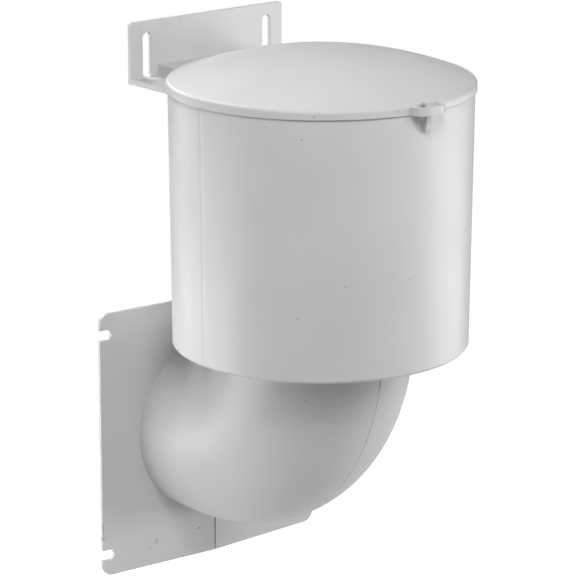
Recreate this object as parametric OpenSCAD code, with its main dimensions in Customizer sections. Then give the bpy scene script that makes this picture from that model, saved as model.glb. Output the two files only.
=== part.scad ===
// Outdoor dryer vent with a floating seal.
// The duct comes through the wall into a 90 degree elbow moulded in two halves, each with
// half of the wall plate. The elbow's pipe rises inside a round hood that is open underneath.
// A loose shuttle sits on the pipe's rim, lifts on the dryer's air and drops shut again.
// A domed lid lifts off the hood for cleaning, and a bracket ties the hood to the wall.
//
// Origin: centre of the duct inlet, on the wall's face. +Z is up, -Y points away from the wall.
// Millimetres throughout.

/* [Duct pipe] */
// Inside diameter of the pipe, from the inlet to the rim
duct_bore = 102.4; // [97:0.2:108]
// Thickness of the pipe's wall
pipe_wall = 1.8; // [1.6:0.1:2.6]
// Radius of the bend, measured to the centre of the pipe
bend_r = 79; // [68:1:90]
// Straight pipe between the wall and the bend
inlet_len = 25.2; // [24:0.2:45]
// Straight pipe above the bend, up to the rim that the shuttle seats on
riser_len = 87; // [70:1:92]
// How far the tongue of the left half reaches into the right half
lap_len = 3; // [1.5:0.1:5]
// Open line left on the outside of the pipe where the halves meet
pipe_seam = 0.25; // [0.1:0.05:0.6]
// Play round the tongue
lap_play = 0.1; // [0.05:0.05:0.2]

/* [Wall plate] */
// Width across both halves
plate_w = 159; // [140:0.2:180]
// Height of the plate above the duct's centre
plate_up = 78.2; // [68:0.2:90]
// Height of the plate below the duct's centre
plate_down = 80.6; // [68:0.2:95]
// Thickness of the plate
plate_t = 2.5; // [2:0.1:4]
// How far the seam edge stands off the wall before the screws draw the plate flat
plate_bow = 4.6; // [1:0.1:12]
// Radius of the outer corners
plate_corner_r = 6.5; // [2:0.5:12]
// Open line between the two halves of the plate
plate_seam = 0.8; // [0.4:0.1:2]
// Width of the screw notches in the outer edges
notch_w = 6.2; // [4:0.2:8]
// Depth of the screw notches
notch_depth = 8; // [5:0.2:12]
// Distance from the plate's top and bottom edges to the middle of a notch
notch_inset = 12.6; // [9:0.2:25]

/* [Hood] */
// Outside diameter at the top rim
hood_top_d = 170.2; // [164:0.2:184]
// Outside diameter at the bottom edge
hood_bottom_d = 167; // [162:0.2:180]
// Height of the hood
hood_h = 145.7; // [140:0.1:165]
// Thickness of the hood's wall
hood_wall = 2; // [1.6:0.1:3]
// How far the hood hangs below the top of the bend
hood_drop = 7.8; // [2:0.1:20]
// Bevel round the outside of the bottom edge
hood_lip = 1.2; // [0.4:0.1:1.5]
// Length of the sleeve that fits over the pipe
sleeve_len = 30; // [15:1:40]
// Thickness of the sleeve's wall
sleeve_wall = 1.8; // [1.4:0.1:3]
// Play between sleeve and pipe, on the radius
sleeve_play = 0.2; // [0.1:0.05:0.4]
// Height of the stop bead's underside above the bend
bead_lift = 8; // [4:0.5:12]
// Height of the stop bead that the sleeve rests on
bead_h = 2.4; // [1.6:0.1:4]
// How far the stop bead stands out from the pipe
bead_out = 1.8; // [1.2:0.1:2.6]
// Thickness of the webs and guide ribs
web_t = 2; // [1.4:0.1:3]
// Number of webs round the pipe
web_count = 4; // [4:1:4]

/* [Latch post] */
// Width of the post's rib on the hood
post_w = 2.7; // [2:0.1:4]
// How far the rib stands out from the hood's rim
post_out = 3.4; // [2.6:0.1:3.6]
// How far the rib runs down the hood
post_drop = 10.1; // [6:0.1:16]
// Width of the post's head
post_head_w = 4.4; // [3.4:0.1:6]
// Height of the post's head
post_head_h = 1.6; // [1:0.1:3]

/* [Rear block] */
// Width of the block on the back of the hood
block_w = 71; // [60:0.2:76]
// How far the block stands above the hood's rim
block_rise = 1.8; // [0.6:0.1:2.6]
// Thickness of the block's walls
block_wall = 2; // [1.4:0.1:2.6]
// Distance between the two screws
screw_gap = 48; // [40:1:50]
// Outside diameter of the screw bosses
boss_d = 8; // [7:0.2:9]

/* [Lid] */
// How far the lid reaches past the hood's rim, on the radius
lid_over = 1.1; // [0.6:0.1:2]
// Height of the lid's upright rim, up to the middle of its rounded edge
lid_rim_h = 3.1; // [2.6:0.1:6]
// Radius of the dome
dome_r = 233; // [210:1:280]
// Radius of the rounded edge
lid_edge_r = 2.5; // [1:0.1:3.5]
// Thickness of the dome
lid_wall = 2.2; // [1.6:0.1:3]
// Open line between the lid and the hood's rim
lid_seam = 0.3; // [0.2:0.05:0.6]
// Depth of the ring that centres the lid inside the hood
ring_depth = 5.5; // [3:0.5:9]
// Thickness of the centring ring
ring_wall = 1.8; // [1.4:0.1:2.4]
// Play between the centring ring and the hood, on the radius
ring_play = 0.3; // [0.2:0.05:0.6]
// Diameter of the stop under the middle of the dome
stop_d = 14; // [10:1:24]

/* [Lid ear] */
// Width of the ear
ear_w = 21; // [19:0.5:30]
// How far the ear stands out from the lid
ear_out = 8.2; // [7.6:0.1:12]
// Thickness of the ear
ear_t = 4.6; // [3:0.1:5.4]
// Radius of the ear's corners
ear_r = 7.6; // [3:0.1:8]
// Width of the window that the post comes up through
window_w = 15.2; // [11:0.2:16]
// Thickness of the bar outside the window
ear_bar = 2.8; // [1.8:0.1:3]
// Play between the window and the post, fore and aft
post_play = 0.6; // [0.4:0.1:1]

/* [Shuttle] */
// Gap between the pipe and the shuttle's skirt
shuttle_gap = 5.2; // [4:0.1:7]
// Thickness of the shuttle's skirt
skirt_wall = 1.5; // [1.2:0.1:2.4]
// Depth of the skirt below the pipe's rim
skirt_depth = 15; // [8:0.5:24]
// Thickness of the shuttle's dome
shuttle_wall = 1.6; // [1.2:0.1:2.4]
// Rise of the shuttle's dome
shuttle_rise = 5; // [3:0.5:7]
// How far the air can lift the shuttle
shuttle_lift = 45; // [30:1:46]
// Play between the shuttle and the guide ribs, on the radius
guide_play = 0.8; // [0.5:0.1:1.5]

/* [Wall bracket] */
// Width of the bracket
bracket_w = 110.2; // [100:0.2:130]
// Height of the upright leaf
bracket_h = 35.2; // [33:0.2:45]
// Thickness of both leaves
bracket_t = 2.8; // [2:0.1:4]
// Depth of the lower leaf's underside below the hood's rim
bracket_drop = 7.3; // [6.6:0.1:12]
// Width of the two upright slots
slot_w = 6.3; // [4:0.1:8]
// Length of the slots
slot_len = 26; // [15:0.2:27]
// Distance between the slots
slot_gap = 87.2; // [80:0.2:90]
// Play between the lower leaf and the hood
saddle_play = 0.5; // [0.3:0.1:1]
// Radius of the bracket's free corners
bracket_corner_r = 1.6; // [0.5:0.1:3]
// Radius of the inside fillet between the leaves
bracket_fillet = 1.5; // [0.5:0.1:2]

/* [Bracket screws] */
// Diameter of the screw's shank
screw_d = 3.4; // [2.6:0.1:4]
// Diameter of the pan head
head_d = 7.4; // [6:0.1:9]
// Height of the pan head
head_h = 2.4; // [1.6:0.1:3.2]
// Play round the shank in the boss, on the radius
screw_play = 0.05; // [0.03:0.01:0.1]

/* [Hidden] */
$fn = 128;

// Reaches past any solid, for cutting away whole sides
far = 400;
// Extra length that carries a cut clear of a face
past = 1;

// Pipe
bore_r = duct_bore / 2;
pipe_r = bore_r + pipe_wall;
lap_r = bore_r + (pipe_wall - lap_play) / 2;
hood_y = -(inlet_len + bend_r);
rim_z = bend_r + riser_len;
bead_z = bend_r + bead_lift;

// Wall plate
plate_half = plate_w / 2;
rake = atan(plate_bow / plate_half);
plate_hole_r = pipe_r - pipe_wall / 4;

// Hood
hood_z = bend_r - hood_drop;
hood_top_z = hood_z + hood_h;
hood_top_r = hood_top_d / 2;
hood_bottom_r = hood_bottom_d / 2;
sleeve_z = bead_z + bead_h;
sleeve_top_z = sleeve_z + sleeve_len;
sleeve_in_r = pipe_r + sleeve_play;
sleeve_out_r = sleeve_in_r + sleeve_wall;
sink = hood_wall / 3;

// Shuttle
shuttle_in_r = pipe_r + shuttle_gap;
shuttle_r = shuttle_in_r + skirt_wall;
shuttle_edge_z = rim_z + shuttle_wall + 0.8;
shuttle_top_z = shuttle_edge_z + shuttle_rise;
shuttle_dome_r = (pow(shuttle_r, 2) + pow(shuttle_rise, 2)) / (2 * shuttle_rise);
seat_w = 1;
stop_play = 0.3;

// Guide ribs end under the lid's centring ring
guide_r = shuttle_r + guide_play;
guide_top_z = hood_top_z - ring_depth - 1.5;

// Lid. The rounded edge stands a hair proud, so that its face crosses the dome's and the rim's
edge_proud = 0.01;
lid_z = hood_top_z + lid_seam;
lid_r = hood_top_r + lid_over;
edge_x = lid_r - lid_edge_r;
edge_z = lid_z + lid_rim_h;
edge_tilt = asin(edge_x / (dome_r - lid_edge_r));
dome_z = edge_z - (dome_r - lid_edge_r) * cos(edge_tilt);
lid_top_z = dome_z + dome_r;
ring_r = hood_r(lid_z - ring_depth) - hood_wall - ring_play;
ring_in_r = ring_r - ring_wall;
ear_y = hood_y - lid_r - ear_out;

// Latch post, upright inside the ear's window
post_y = hood_y - hood_top_r - post_out;
post_in_y = hood_y - hood_top_r - 0.6;
post_top_z = lid_z + ear_t + post_head_h;
post_round = 2;
window_y = ear_y + ear_bar;
window_in_y = post_in_y + post_play;

// Bracket, and the block that stands on it
leaf_z = hood_top_z - bracket_drop;
leaf_top_z = leaf_z + bracket_t;
leaf_depth = 37.4;
block_top_z = hood_top_z + block_rise;
block_back_y = -bracket_t - 0.4;
block_roof = 2.2;
boss_roof = 1.6;
slot_mid_z = leaf_top_z + slot_len / 2;
screw_y = (hood_y + hood_top_r + block_back_y) / 2 - 0.2;
hole_r = screw_d / 2 + screw_play;
leaf_hole_r = screw_d / 2 + 0.5;
screw_tip_z = block_top_z - boss_roof - 0.4;

plastic = [0.87, 0.87, 0.86];
lid_plastic = [0.83, 0.83, 0.82];
steel = [0.66, 0.67, 0.69];

// Hood radius at height z
function hood_r(z) = hood_bottom_r + (hood_top_r - hood_bottom_r) * (z - hood_z) / hood_h;

// Everything on one side of the seam: side 1 keeps +X, side -1 keeps -X
module keep_side(side, gap = 0) {
    intersection() {
        children();
        translate([side > 0 ? gap : -far - gap, -far, -far])
            cube([far, 2 * far, 2 * far]);
    }
}

// Section of half the pipe, split along its local X axis, with the tongue or its rebate
module half_ring(side) {
    if (side < 0) {
        difference() {
            circle(pipe_r);
            circle(bore_r);
            translate([-far, 0]) square([2 * far, far]);
        }
        intersection() {
            difference() {
                circle(lap_r);
                circle(bore_r);
            }
            translate([-far, -lap_len]) square([2 * far, 2 * lap_len]);
        }
    } else {
        difference() {
            circle(pipe_r);
            circle(bore_r);
            translate([-far, -far]) square([2 * far, far + pipe_seam]);
            intersection() {
                circle(lap_r + lap_play);
                translate([-far, 0]) square([2 * far, lap_len + lap_play]);
            }
        }
    }
}

// The pipe's half swept from the wall round the bend and up to the rim
module half_pipe(side) {
    rotate([90, 0, 0]) rotate([0, 0, 90]) mirror([0, 1, 0])
        linear_extrude(inlet_len) half_ring(side);
    translate([0, -inlet_len, bend_r]) rotate([0, 90, 0])
        rotate_extrude(angle = -90) translate([bend_r, 0]) half_ring(side);
    translate([0, hood_y, bend_r]) rotate([0, 0, 90]) mirror([0, 1, 0])
        linear_extrude(riser_len) half_ring(side);
}

// Outline of half the plate, from its outer edge at x = 0 inwards, with its screw notches
module plate_outline() {
    reach = plate_half / cos(rake) + past;
    r = plate_corner_r;
    difference() {
        union() {
            translate([r, -plate_down]) square([reach - r, plate_up + plate_down]);
            translate([0, r - plate_down]) square([r + past, plate_up + plate_down - 2 * r]);
            translate([r, plate_up - r]) circle(r);
            translate([r, r - plate_down]) circle(r);
        }
        for (z = [plate_up - notch_inset, notch_inset - plate_down]) {
            translate([-past, z - notch_w / 2])
                square([notch_depth - notch_w / 2 + past, notch_w]);
            translate([notch_depth - notch_w / 2, z]) circle(notch_w / 2);
        }
    }
}

// Half of the wall plate, raked so that only its outer edge touches the wall
module plate_half(side) {
    keep_side(side, plate_seam / 2)
        difference() {
            translate([side * plate_half, 0, 0]) rotate([0, 0, side * rake])
                mirror([side > 0 ? 1 : 0, 0, 0])
                    rotate([90, 0, 0]) linear_extrude(plate_t) plate_outline();
            rotate([90, 0, 0]) cylinder(r = plate_hole_r, h = far, center = true);
        }
}

// Ring on the riser that stops the hood's sleeve
module stop_bead(side) {
    keep_side(side, side > 0 ? pipe_seam : 0)
        translate([0, hood_y, bead_z]) rotate_extrude()
            translate([pipe_r - pipe_wall / 4, 0])
                square([pipe_wall / 4 + bead_out, bead_h]);
}

module elbow_half(side) {
    color(plastic) {
        half_pipe(side);
        plate_half(side);
        stop_bead(side);
    }
}

module elbow_left() { elbow_half(-1); }
module elbow_right() { elbow_half(1); }

// Tapered outer wall, bevelled at the bottom edge
module hood_shell() {
    translate([0, hood_y, 0]) rotate_extrude()
        polygon([
            [hood_bottom_r - hood_wall, hood_z],
            [hood_bottom_r - hood_lip, hood_z],
            [hood_bottom_r, hood_z + hood_lip],
            [hood_top_r, hood_top_z],
            [hood_top_r - hood_wall, hood_top_z]
        ]);
}

// Web from the sleeve to the wall that carries on up as a guide rib for the shuttle
module web() {
    slope = 8;
    lead_in = 3;
    foot_z = sleeve_z - slope / 2;
    rotate([90, 0, 0]) translate([0, 0, -web_t / 2]) linear_extrude(web_t)
        polygon([
            [sleeve_out_r - sleeve_wall / 2, sleeve_z],
            [pipe_r + bead_out + 1, sleeve_z],
            [hood_r(foot_z) - hood_wall + sink, foot_z],
            [hood_r(guide_top_z) - hood_wall + sink, guide_top_z],
            [guide_r + lead_in, guide_top_z],
            [guide_r, guide_top_z - lead_in],
            [guide_r, sleeve_top_z + slope],
            [sleeve_out_r - sleeve_wall / 2, sleeve_top_z]
        ]);
}

// Sleeve over the pipe, hung from the wall by its webs
module hood_core() {
    translate([0, hood_y, 0]) {
        translate([0, 0, sleeve_z]) difference() {
            cylinder(r = sleeve_out_r, h = sleeve_len);
            translate([0, 0, -past]) cylinder(r = sleeve_in_r, h = sleeve_len + 2 * past);
        }
        for (i = [0 : web_count - 1])
            rotate([0, 0, (i + 0.5) * 360 / web_count]) web();
    }
}

// Cored block that stands on the bracket's lower leaf, with a boss for each screw
module rear_block() {
    pocket_x = block_w / 2 - block_wall;
    difference() {
        translate([-block_w / 2, hood_y, leaf_top_z])
            cube([block_w, block_back_y - hood_y, block_top_z - leaf_top_z]);
        translate([0, hood_y, leaf_top_z - past])
            cylinder(r = hood_top_r - sink, h = far);
        translate([0, hood_y, hood_top_z])
            cylinder(r = lid_r + 0.5, h = far);
        difference() {
            translate([-pocket_x, hood_y, leaf_top_z - past])
                cube([2 * pocket_x, block_back_y - block_wall - hood_y,
                      block_top_z - block_roof - leaf_top_z + past]);
            translate([0, hood_y, leaf_top_z - 2 * past])
                cylinder(r = hood_top_r + block_wall / 2, h = far);
            for (x = [-screw_gap / 2, screw_gap / 2])
                translate([x, screw_y, leaf_top_z - 2 * past])
                    cylinder(d = boss_d, h = far);
        }
        for (x = [-screw_gap / 2, screw_gap / 2])
            translate([x, screw_y, leaf_top_z - past])
                cylinder(r = hole_r, h = screw_tip_z + 0.2 - leaf_top_z + past);
    }
}

// Rib up the front of the hood that ends in the post inside the lid's ear
module latch_post() {
    foot_z = hood_top_z - post_drop;
    foot_y = hood_y - hood_r(foot_z) + sink;
    difference() {
        union() {
            translate([-post_w / 2, post_y, foot_z])
                cube([post_w, foot_y - post_y, post_drop - lid_seam]);
            translate([-post_w / 2, post_y, foot_z + post_round])
                cube([post_w, post_in_y - post_y, post_top_z - foot_z - post_round]);
            translate([-post_head_w / 2, post_y, post_top_z - post_head_h])
                cube([post_head_w, post_in_y - post_y, post_head_h]);
        }
        translate([-post_w, post_y - past, foot_z - past])
            cube([2 * post_w, post_round + past, post_round + past]);
    }
    translate([-post_w / 2, post_y + post_round, foot_z + post_round])
        rotate([0, 90, 0]) cylinder(r = post_round, h = post_w);
}

module hood() {
    color(plastic) {
        hood_shell();
        hood_core();
        rear_block();
        latch_post();
    }
}

// Half section of the lid: dome, rounded edge, rim and centring ring
module lid_section() {
    difference() {
        union() {
            difference() {
                intersection() {
                    translate([0, dome_z]) circle(dome_r, $fn = 720);
                    translate([0, lid_z]) square([lid_r, far]);
                }
                polygon([
                    [edge_x, edge_z],
                    [edge_x + far, edge_z],
                    [edge_x + far, edge_z + far],
                    [edge_x + far * sin(edge_tilt), edge_z + far * cos(edge_tilt)]
                ]);
            }
            translate([edge_x, edge_z]) circle(lid_edge_r + edge_proud);
            translate([ring_in_r, lid_z - ring_depth]) square([ring_wall, ring_depth + past]);
        }
        intersection() {
            translate([0, dome_z]) circle(dome_r - lid_wall, $fn = 720);
            translate([0, lid_z - past]) square([ring_in_r, far]);
        }
    }
}

// Outline of the ear, square at the back and rounded at the front
module ear_outline() {
    straight = ear_w - 2 * ear_r;
    translate([-ear_w / 2, ear_y + ear_r])
        square([ear_w, hood_y - hood_top_r + hood_wall - ear_y - ear_r]);
    translate([-straight / 2, ear_y]) square([straight, ear_r + past]);
    for (x = [-straight / 2, straight / 2])
        translate([x, ear_y + ear_r]) circle(ear_r);
}

module lid() {
    stop_z = shuttle_top_z + shuttle_lift + stop_play;
    color(lid_plastic)
        difference() {
            union() {
                translate([0, hood_y, 0]) rotate_extrude() lid_section();
                translate([0, 0, lid_z]) linear_extrude(ear_t) ear_outline();
                translate([0, hood_y, stop_z])
                    cylinder(d = stop_d, h = lid_top_z - lid_wall / 2 - stop_z);
            }
            translate([-window_w / 2, window_y, lid_z - past])
                cube([window_w, window_in_y - window_y, far]);
        }
}

// Half section of the shuttle: dome, skirt and the ring that seats on the pipe's rim
module shuttle_section() {
    centre_z = shuttle_top_z - shuttle_dome_r;
    difference() {
        intersection() {
            translate([0, centre_z]) circle(shuttle_dome_r, $fn = 720);
            translate([0, rim_z - skirt_depth]) square([shuttle_r, far]);
        }
        intersection() {
            translate([0, centre_z]) circle(shuttle_dome_r - shuttle_wall, $fn = 720);
            translate([0, rim_z - skirt_depth - past]) square([shuttle_in_r, far]);
        }
    }
    intersection() {
        translate([0, centre_z]) circle(shuttle_dome_r - shuttle_wall / 2, $fn = 720);
        translate([bore_r - seat_w, rim_z]) square([pipe_wall + 2 * seat_w, far]);
    }
}

module shuttle() {
    color(plastic)
        translate([0, hood_y, 0]) rotate_extrude() shuttle_section();
}

// Upright leaf with its two slots
module upright_leaf() {
    r = bracket_corner_r;
    rotate([90, 0, 0]) linear_extrude(bracket_t)
        difference() {
            union() {
                translate([-bracket_w / 2, leaf_z]) square([bracket_w, bracket_h - r]);
                translate([r - bracket_w / 2, leaf_z]) square([bracket_w - 2 * r, bracket_h]);
                for (x = [r - bracket_w / 2, bracket_w / 2 - r])
                    translate([x, leaf_z + bracket_h - r]) circle(r);
            }
            for (x = [-slot_gap / 2, slot_gap / 2]) {
                straight = slot_len - slot_w;
                translate([x - slot_w / 2, slot_mid_z - straight / 2])
                    square([slot_w, straight]);
                for (z = [-straight / 2, straight / 2])
                    translate([x, slot_mid_z + z]) circle(slot_w / 2);
            }
        }
}

// Lower leaf, cut to a saddle round the back of the hood
module lower_leaf() {
    translate([0, 0, leaf_z]) linear_extrude(bracket_t)
        difference() {
            translate([-bracket_w / 2, -leaf_depth]) square([bracket_w, leaf_depth]);
            translate([0, hood_y]) circle(hood_r(leaf_top_z) + saddle_play);
            for (x = [-screw_gap / 2, screw_gap / 2])
                translate([x, screw_y]) circle(leaf_hole_r);
        }
}

module wall_bracket() {
    color(plastic) {
        upright_leaf();
        lower_leaf();
    }
}

// Pan-head screw, driven up through the lower leaf into the block's boss
module bracket_screw(x) {
    crown_r = (pow(head_d / 2, 2) + pow(head_h / 2, 2)) / head_h;
    slot = 0.9;
    color(steel)
        translate([x, screw_y, 0]) {
            translate([0, 0, leaf_z - past / 2])
                cylinder(d = screw_d, h = screw_tip_z - leaf_z + past / 2);
            difference() {
                intersection() {
                    translate([0, 0, leaf_z - head_h]) cylinder(d = head_d, h = head_h);
                    translate([0, 0, leaf_z - head_h + crown_r]) sphere(crown_r);
                }
                for (turn = [0, 90])
                    rotate([0, 0, turn])
                        translate([-head_d / 4, -slot / 2, leaf_z - head_h - past])
                            cube([head_d / 2, slot, head_h / 2 + past]);
            }
        }
}

module bracket_screw_left() { bracket_screw(-screw_gap / 2); }
module bracket_screw_right() { bracket_screw(screw_gap / 2); }

elbow_left();
elbow_right();
hood();
lid();
shuttle();
wall_bracket();
bracket_screw_left();
bracket_screw_right();
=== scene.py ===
# Outdoor dryer vent with a floating seal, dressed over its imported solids.
# The order follows the real assembly: elbow halves, hood, shuttle, lid, bracket and its screws.
import math

import bmesh
import bpy
from mathutils import Matrix, Vector


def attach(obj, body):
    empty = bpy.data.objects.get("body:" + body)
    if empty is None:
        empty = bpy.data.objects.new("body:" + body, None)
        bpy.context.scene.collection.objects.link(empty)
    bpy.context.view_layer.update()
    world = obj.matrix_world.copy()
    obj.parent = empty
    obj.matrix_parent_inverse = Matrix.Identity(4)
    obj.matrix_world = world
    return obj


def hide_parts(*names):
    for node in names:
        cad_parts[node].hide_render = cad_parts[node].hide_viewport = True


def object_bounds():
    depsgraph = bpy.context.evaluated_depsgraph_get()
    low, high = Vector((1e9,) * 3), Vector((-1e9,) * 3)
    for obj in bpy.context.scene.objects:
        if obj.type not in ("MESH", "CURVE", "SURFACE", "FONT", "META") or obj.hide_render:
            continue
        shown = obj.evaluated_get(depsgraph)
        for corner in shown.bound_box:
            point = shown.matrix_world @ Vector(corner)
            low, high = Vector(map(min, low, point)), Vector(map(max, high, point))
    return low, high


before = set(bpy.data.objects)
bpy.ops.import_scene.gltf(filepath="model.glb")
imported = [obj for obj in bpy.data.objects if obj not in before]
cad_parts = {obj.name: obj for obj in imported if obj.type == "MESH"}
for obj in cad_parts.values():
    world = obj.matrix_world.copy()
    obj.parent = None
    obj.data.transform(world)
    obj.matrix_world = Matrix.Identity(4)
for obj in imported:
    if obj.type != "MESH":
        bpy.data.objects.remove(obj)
cad_low, cad_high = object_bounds()

# Elbow halves
# Two mirrored mouldings, each half of the bend with half of the wall plate, bonded along a lap.
# Injection-moulded ABS in off-white: soft satin sheen, faint flow clouding, fine sparked grain.


def linear(hex_colour):
    """An sRGB hex colour as linear RGBA."""
    parts = [int(hex_colour[i : i + 2], 16) / 255 for i in (0, 2, 4)]
    return [c / 12.92 if c <= 0.04045 else ((c + 0.055) / 1.055) ** 2.4 for c in parts] + [1]


def add(tree, kind, settings=(), links=()):
    """A node with its settings and socket values, and the sockets that feed it.

    A socket is given by name or number: 0, 6 and 7 are a colour Mix node's factor and two colours.
    """
    node = tree.nodes.new(kind)
    for name, value in dict(settings).items():
        if isinstance(name, int) or name in node.inputs:
            node.inputs[name].default_value = value
        else:
            setattr(node, name, value)
    for name, source in dict(links).items():
        tree.links.new(source, node.inputs[name])
    return node


# Real sizes of the surface's patterns and of its broken edges, in metres
cloud_across, speck_cell, grain_across, edge_break = 0.045, 0.015, 0.0007, 0.0004


def moulded_abs(name, hex_colour, cloud_hex, roughness, soiled=()):
    """ABS from a sparked steel mould. The eye gets an even satin white with slow, faint clouding.

    Each entry of soiled is a dark mark: its middle, its half sizes and how dark it is, from 0 to 1.
    """
    material = bpy.data.materials.new(name)
    material.use_nodes = True
    tree = material.node_tree
    tree.nodes.clear()
    place = add(tree, "ShaderNodeTexCoord").outputs["Object"]
    # Clouding from the plastic's flow in the mould
    cloud = add(tree, "ShaderNodeTexNoise", {"Scale": 1 / cloud_across, "Detail": 3}, {"Vector": place})
    shade = add(
        tree,
        "ShaderNodeMix",
        {"data_type": "RGBA", 6: linear(cloud_hex), 7: linear(hex_colour)},
        {0: cloud.outputs[0]},
    )
    # Handling specks, 1 mm across and some 50 mm apart, where a cell's point meets the surface
    cell = add(tree, "ShaderNodeTexVoronoi", {"Scale": 1 / speck_cell}, {"Vector": place})
    speck = add(
        tree,
        "ShaderNodeMapRange",
        {"From Min": 0.02, "From Max": 0.045, "To Min": 0.5, "To Max": 0},
        {"Value": cell.outputs["Distance"]},
    )
    dirt = speck.outputs[0]
    for middle, half, strength in soiled:
        away = add(tree, "ShaderNodeVectorMath", {"operation": "SUBTRACT", 1: middle}, {0: place})
        share = add(tree, "ShaderNodeVectorMath", {"operation": "DIVIDE", 1: half}, {0: away.outputs[0]})
        reach = add(tree, "ShaderNodeVectorMath", {"operation": "LENGTH"}, {0: share.outputs[0]})
        mark = add(
            tree,
            "ShaderNodeMapRange",
            {"From Min": 0.5, "From Max": 1.1, "To Min": strength, "To Max": 0},
            {"Value": reach.outputs["Value"]},
        )
        darker = {0: dirt, 1: mark.outputs[0]}
        dirt = add(tree, "ShaderNodeMath", {"operation": "MAXIMUM"}, darker).outputs[0]
    colour = add(
        tree,
        "ShaderNodeMix",
        {"data_type": "RGBA", 7: linear("3a3936")},
        {0: dirt, 6: shade.outputs[2]},
    )
    dull = add(
        tree,
        "ShaderNodeMapRange",
        {"From Min": 0.3, "From Max": 0.7, "To Min": roughness - 0.04, "To Max": roughness + 0.06},
        {"Value": cloud.outputs[0]},
    )
    edge = add(tree, "ShaderNodeBevel", {"samples": 6, "Radius": edge_break})
    # Sparked grain is about 0.1 mm on the real part, and is drawn coarser so that it shows
    grain_set = {"Scale": 1 / grain_across, "Detail": 2, "Roughness": 0.6}
    grain = add(tree, "ShaderNodeTexNoise", grain_set, {"Vector": place})
    bump = add(
        tree,
        "ShaderNodeBump",
        {"Strength": 0.08, "Distance": 0.0002},
        {"Height": grain.outputs[0], "Normal": edge.outputs[0]},
    )
    skin = add(
        tree,
        "ShaderNodeBsdfPrincipled",
        {"IOR": 1.54},
        {"Base Color": colour.outputs[2], "Roughness": dull.outputs[0], "Normal": bump.outputs[0]},
    )
    add(tree, "ShaderNodeOutputMaterial", links={"Surface": skin.outputs[0]})
    return material


def finish_node(node, material):
    """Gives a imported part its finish."""
    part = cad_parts[node]
    part.data.materials.clear()
    part.data.materials.append(material)


# Grime in the joint, on the plate and just under the hood, then smudges at the plate's lower left
elbow_soil = (
    ((0, -0.0068, -0.066), (0.0005, 0.003, 0.04), 0.95),
    ((0, -0.1555, 0.0575), (0.0005, 0.003, 0.0045), 0.6),
    ((-0.0117, -0.0064, -0.0646), (0.0008, 0.002, 0.0008), 0.6),
    ((-0.042, -0.0047, -0.0662), (0.001, 0.002, 0.002), 0.35),
    ((-0.0463, -0.0044, -0.0695), (0.0011, 0.002, 0.0008), 0.25),
    ((-0.0794, -0.0028, -0.051), (0.0004, 0.0012, 0.0068), 0.5),
    ((-0.0795, -0.0025, -0.0573), (0.0014, 0.003, 0.0014), 0.4),
)
elbow_abs = moulded_abs("abs_elbow_moulded", "cfcfcf", "c9c9c9", 0.45, elbow_soil)
for half in ("elbow_left", "elbow_right"):
    finish_node(half, elbow_abs)

# Hood
# One tapered moulding with the sleeve, webs, rear block and latch post in it.
# The mould's two side slides met at its left and right, and left a shallow upright groove on each.
groove_half, groove_deep = 0.0015, 0.0002
# Cuts just outside the groove keep the shell round it as it was
groove_shoulder = 1.2 * groove_half
hood_axis_y = -0.1042
hood_bottom_z, hood_top_z = 0.0712, 0.2169
hood_bottom_r, hood_top_r = 0.0835, 0.0851
# How far a point may lie from where it should be: off the outside, past the ends, off a cut
off_outside, past_ends, off_cut = 0.0002, 0.01, 1e-6
sharp_angle = math.radians(25)
housing_abs = moulded_abs("abs_off_white_moulded", "cfcfcf", "c9c9c9", 0.45)
hood_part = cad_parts["hood"]
shell = bmesh.new()
shell.from_mesh(hood_part.data)
bmesh.ops.remove_doubles(shell, verts=shell.verts, dist=off_cut)
for off in (-groove_shoulder, -groove_half, 0, groove_half, groove_shoulder):
    bmesh.ops.bisect_plane(
        shell,
        geom=shell.verts[:] + shell.edges[:] + shell.faces[:],
        dist=1e-7,
        plane_co=(0, hood_axis_y + off, 0),
        plane_no=(0, 1, 0),
    )
groove_points = []
for point in shell.verts:
    share = (point.co.z - hood_bottom_z) / (hood_top_z - hood_bottom_z)
    outside = hood_bottom_r + share * (hood_top_r - hood_bottom_r)
    off = point.co.y - hood_axis_y
    on_shell = -past_ends < share < 1 + past_ends and abs(abs(point.co.x) - outside) < off_outside
    if on_shell and abs(off) < groove_half + off_cut:
        groove_points.append(point)
        if abs(off) < off_cut:
            point.co.x -= math.copysign(groove_deep, point.co.x)
on_line = set(groove_points)
for face in shell.faces:
    face.smooth = True
for edge in shell.edges:
    one, two = edge.verts
    along = abs(one.co.y - two.co.y) < off_cut and one in on_line and two in on_line
    edge.smooth = not along and edge.is_manifold and edge.calc_face_angle() < sharp_angle
hood_mesh = bpy.data.meshes.new("hood_moulding")
shell.to_mesh(hood_mesh)
shell.free()
hood_mesh.materials.append(housing_abs)
hood = bpy.data.objects.new("hood_moulding", hood_mesh)
bpy.context.scene.collection.objects.link(hood)
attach(hood, "housing")
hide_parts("hood")

# Shuttle
# Thin-walled cap that floats on the air and drops on the pipe's rim.
# The same ABS, seen only when the lid is off.
finish_node("shuttle", housing_abs)

# Lid
# Domed moulding that centres in the hood and hooks its ear over the latch post.
# ABS a shade greyer than the hood, with the same satin grain.
lid_abs = moulded_abs("abs_lid_moulded", "cecece", "c8c8c8", 0.47)
finish_node("lid", lid_abs)

# Wall bracket
# Angle moulding with two upright slots for the wall screws.
# The same off-white ABS.
finish_node("wall_bracket", housing_abs)

# Bracket screws
# Pan-head steel screws, driven up through the bracket's lower leaf into the hood's block.
# Zinc plate gives a pale, slightly blue grey with a soft shine.
zinc = bpy.data.materials.new("zinc_plated_steel")
zinc.use_nodes = True
tree = zinc.node_tree
tree.nodes.clear()
place = add(tree, "ShaderNodeTexCoord").outputs["Object"]
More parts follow.
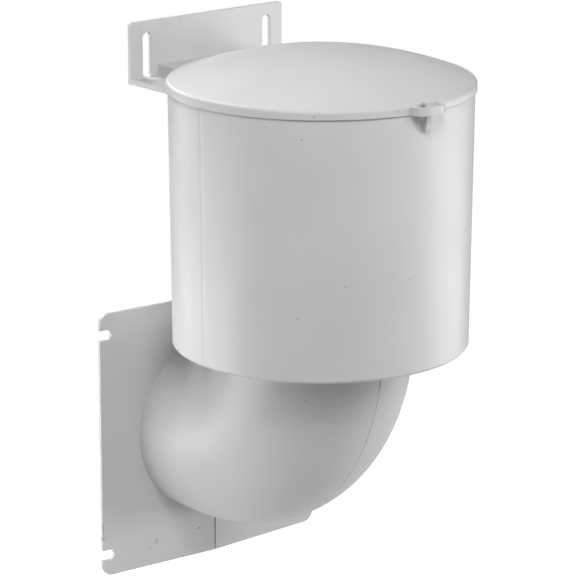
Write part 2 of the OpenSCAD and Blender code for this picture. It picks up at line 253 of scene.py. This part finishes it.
# Crystal clouding of the plate, about 1.5 mm across
spangle = add(tree, "ShaderNodeTexNoise", {"Scale": 650, "Detail": 2}, {"Vector": place})
shade = add(
    tree,
    "ShaderNodeMix",
    {"data_type": "RGBA", 6: linear("b9bcc0"), 7: linear("d0d3d6")},
    {0: spangle.outputs[0]},
)
dull = add(tree, "ShaderNodeMapRange", {"To Min": 0.26, "To Max": 0.4}, {"Value": spangle.outputs[0]})
plate = add(
    tree,
    "ShaderNodeBsdfPrincipled",
    {"Metallic": 1},
    {"Base Color": shade.outputs[2], "Roughness": dull.outputs[0]},
)
add(tree, "ShaderNodeOutputMaterial", links={"Surface": plate.outputs[0]})
for side in ("left", "right"):
    finish_node("bracket_screw_" + side, zinc)

# Studio floor
# A plain pale floor well below the part, which hangs on its wall face and doesn't stand on it.
# The camera sees it white, and the part's shadow falls on it.
floor_drop, floor_half, floor_glow = 0.35, 6, 0.96
floor_mesh = bpy.data.meshes.new("studio_floor")
sheet = bmesh.new()
bmesh.ops.create_grid(sheet, x_segments=1, y_segments=1, size=floor_half)
bmesh.ops.translate(sheet, verts=sheet.verts, vec=(0, 0, cad_low[2] - floor_drop))
sheet.to_mesh(floor_mesh)
sheet.free()
floor = bpy.data.objects.new("studio_floor", floor_mesh)
bpy.context.scene.collection.objects.link(floor)
paper = bpy.data.materials.new("white_paper_roll")
paper.use_nodes = True
tree = paper.node_tree
tree.nodes.clear()
matt = add(tree, "ShaderNodeBsdfDiffuse", {"Color": linear("dcdcdc")})
lit = add(tree, "ShaderNodeEmission", {"Color": (1, 1, 1, 1), "Strength": floor_glow})
both = add(tree, "ShaderNodeAddShader", links={0: matt.outputs[0], 1: lit.outputs[0]})
seen = add(tree, "ShaderNodeLightPath")
pick = add(
    tree,
    "ShaderNodeMixShader",
    links={0: seen.outputs["Is Camera Ray"], 1: matt.outputs[0], 2: both.outputs[0]},
)
# From underneath the floor is clear, so that a low view still shows the part
under = add(tree, "ShaderNodeNewGeometry")
clear = add(tree, "ShaderNodeBsdfTransparent")
one_way = add(
    tree,
    "ShaderNodeMixShader",
    links={0: under.outputs["Backfacing"], 1: pick.outputs[0], 2: clear.outputs[0]},
)
add(tree, "ShaderNodeOutputMaterial", links={"Surface": one_way.outputs[0]})
floor_mesh.materials.append(paper)

# Camera
# A long lens from the left front, a little above, as the photograph was taken.
# Azimuth, elevation and roll are in degrees, lengths in metres.
camera_azimuth, camera_elevation, camera_roll = -39.607, 15.315, 0.027
camera_distance, camera_lens = 1.8273, 203.19
aim = Vector((-0.0141, -0.09243, 0.10216))


def way(azimuth, elevation):
    """The unit vector to a point at this azimuth and elevation. Azimuth 0 is straight out of the wall."""
    a, e = math.radians(azimuth), math.radians(elevation)
    return Vector((math.sin(a) * math.cos(e), -math.cos(a) * math.cos(e), math.sin(e)))


back = way(camera_azimuth, camera_elevation)
right = Vector((0, 0, 1)).cross(back).normalized()
turned = Matrix((right, back.cross(right), back)).transposed().to_4x4()
lens = bpy.data.cameras.new("camera")
lens.lens = camera_lens
lens.sensor_width = 36
lens.clip_start, lens.clip_end = 0.05, 30
camera = bpy.data.objects.new("camera", lens)
roll = Matrix.Rotation(math.radians(camera_roll), 4, "Z")
camera.matrix_world = Matrix.Translation(aim + camera_distance * back) @ turned @ roll
bpy.context.scene.collection.objects.link(camera)
bpy.context.scene.camera = camera

# Studio light
# Soft boxes stand round the part, brightest at its sides and above, weakest low in front.
# So the hood's flanks come out lighter than its front, and the bend is dark under the hood.
tent_light, backdrop_light = 0.03, 1
world = bpy.data.worlds.new("white_tent")
bpy.context.scene.world = world
world.use_nodes = True
tree = world.node_tree
tree.nodes.clear()
seen = add(tree, "ShaderNodeLightPath")
tent = add(tree, "ShaderNodeBackground", {"Color": (1, 1, 1, 1), "Strength": tent_light})
backdrop = add(tree, "ShaderNodeBackground", {"Color": (1, 1, 1, 1), "Strength": backdrop_light})
pick = add(
    tree,
    "ShaderNodeMixShader",
    links={0: seen.outputs["Is Camera Ray"], 1: tent.outputs[0], 2: backdrop.outputs[0]},
)
add(tree, "ShaderNodeOutputWorld", links={"Surface": pick.outputs[0]})
middle = Vector((0, -0.1, 0.08))


def soft_box(name, azimuth, elevation, watts, size=0.45, distance=1.3, aim_at=middle):
    """A square soft box aimed at the part. Azimuth is from the camera, positive to its right."""
    lamp = bpy.data.lights.new(name, "AREA")
    lamp.shape = "SQUARE"
    lamp.size, lamp.energy = size, watts
    out = way(camera_azimuth + azimuth, elevation)
    box = bpy.data.objects.new(name, lamp)
    box.location = aim_at + distance * out
    box.rotation_euler = out.to_track_quat("Z", "Y").to_euler()
    bpy.context.scene.collection.objects.link(box)


soft_box("left_back", -140, 32, 7.6)
soft_box("left_back_high", -120, 60, 5.9)
soft_box("left_back_low", -120, -12, 3)
soft_box("front_high", 0, 48, 7.8)
soft_box("front", 0, 32, 2.6)
soft_box("right_front", 60, 32, 4)
soft_box("right_side", 95, -5, 5.3)
soft_box("right_back_low", 120, -12, 3.2)
# Two small boxes close to the bend keep its left side light, beside the darker plate
bend = Vector((-0.05, -0.05, -0.02))
soft_box("left_near", -70, -5, 0.86, size=0.2, distance=0.5, aim_at=bend)
soft_box("left_near_back", -95, -5, 0.6, size=0.2, distance=0.5, aim_at=bend)
bpy.context.scene.view_settings.view_transform = "Standard"
